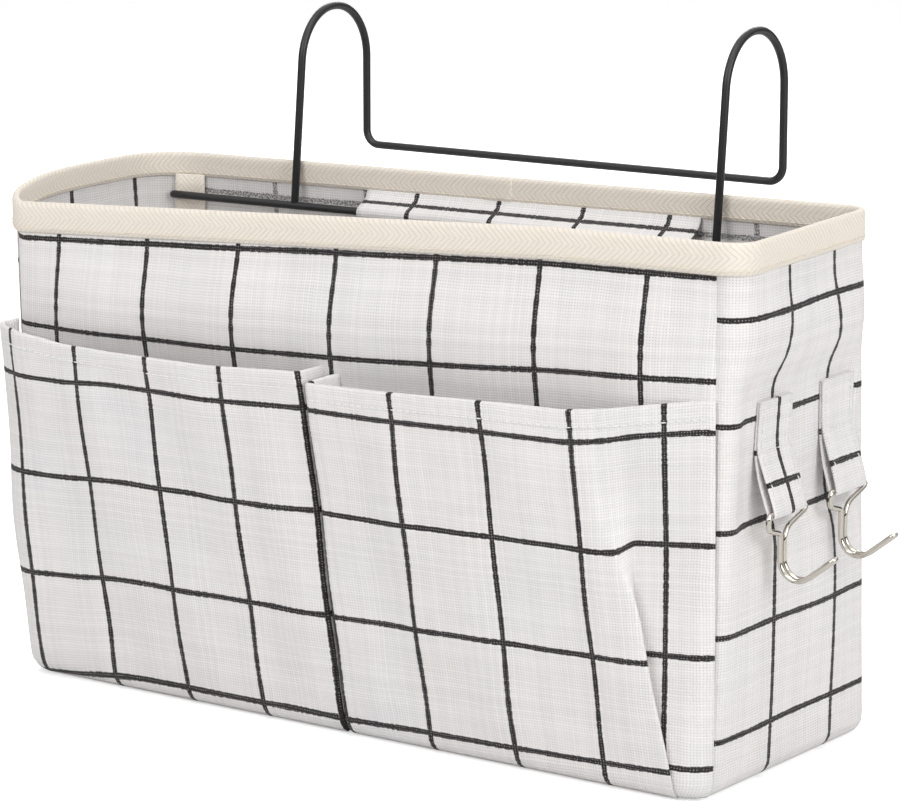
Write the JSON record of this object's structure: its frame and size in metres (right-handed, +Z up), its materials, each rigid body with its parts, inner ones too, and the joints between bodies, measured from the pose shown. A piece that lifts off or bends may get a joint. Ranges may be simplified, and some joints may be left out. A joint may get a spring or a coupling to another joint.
{
  "type": "bedside caddy",
  "caption": "Soft cloth bedside caddy with front pockets, side wire hooks and a bent wire hanger that tilts on a bar in a cloth sleeve.",
  "frame": {"origin": "middle of the base panel's underside", "axes": "+Z up, -Y towards the front with the pockets, +X towards the side with the hooks"},
  "size_m": [0.353, 0.1731, 0.2631],
  "materials": {
    "linen": "coarse plain weave with a printed black window-pane grid",
    "twill": "cream herringbone twill tape",
    "black_coat": "satin black powder coat on steel wire",
    "nickel": "bright nickel plate on steel wire"
  },
  "bodies": {
    "bag": {"front_panel": "linen", "back_panel": "linen", "left_side_panel": "linen", "right_side_panel": "linen", "base_panel": "linen", "rim_binding": "twill", "front_left_seam_tape": "twill", "back_left_seam_tape": "twill", "front_right_seam_tape": "twill", "back_right_seam_tape": "twill", "left_pocket": "linen", "right_pocket": "linen", "bar_sleeve": "linen", "front_hook_loop": "linen", "rear_hook_loop": "linen"},
    "hanger": {"hanger_frame": "black_coat", "hanger_bar": "black_coat"},
    "hook_front": {"front_hook": "nickel"},
    "hook_rear": {"rear_hook": "nickel"}
  },
  "joints": [
    {"name": "hanger_tilt", "type": "hinge", "parent": "bag", "child": "hanger", "pos_m": [0, 0.03966, 0.1825], "axis": [1, 0, 0], "range_deg": [0, 180]},
    {"name": "front_hook_swing", "type": "hinge", "parent": "bag", "child": "hook_front", "pos_m": [0.16528, -0.02577, 0.101], "axis": [0, -1, 0], "range_deg": [-4, 85]},
    {"name": "rear_hook_swing", "type": "hinge", "parent": "bag", "child": "hook_rear", "pos_m": [0.16528, 0.02123, 0.101], "axis": [0, -1, 0], "range_deg": [-4, 85]}
  ]
}
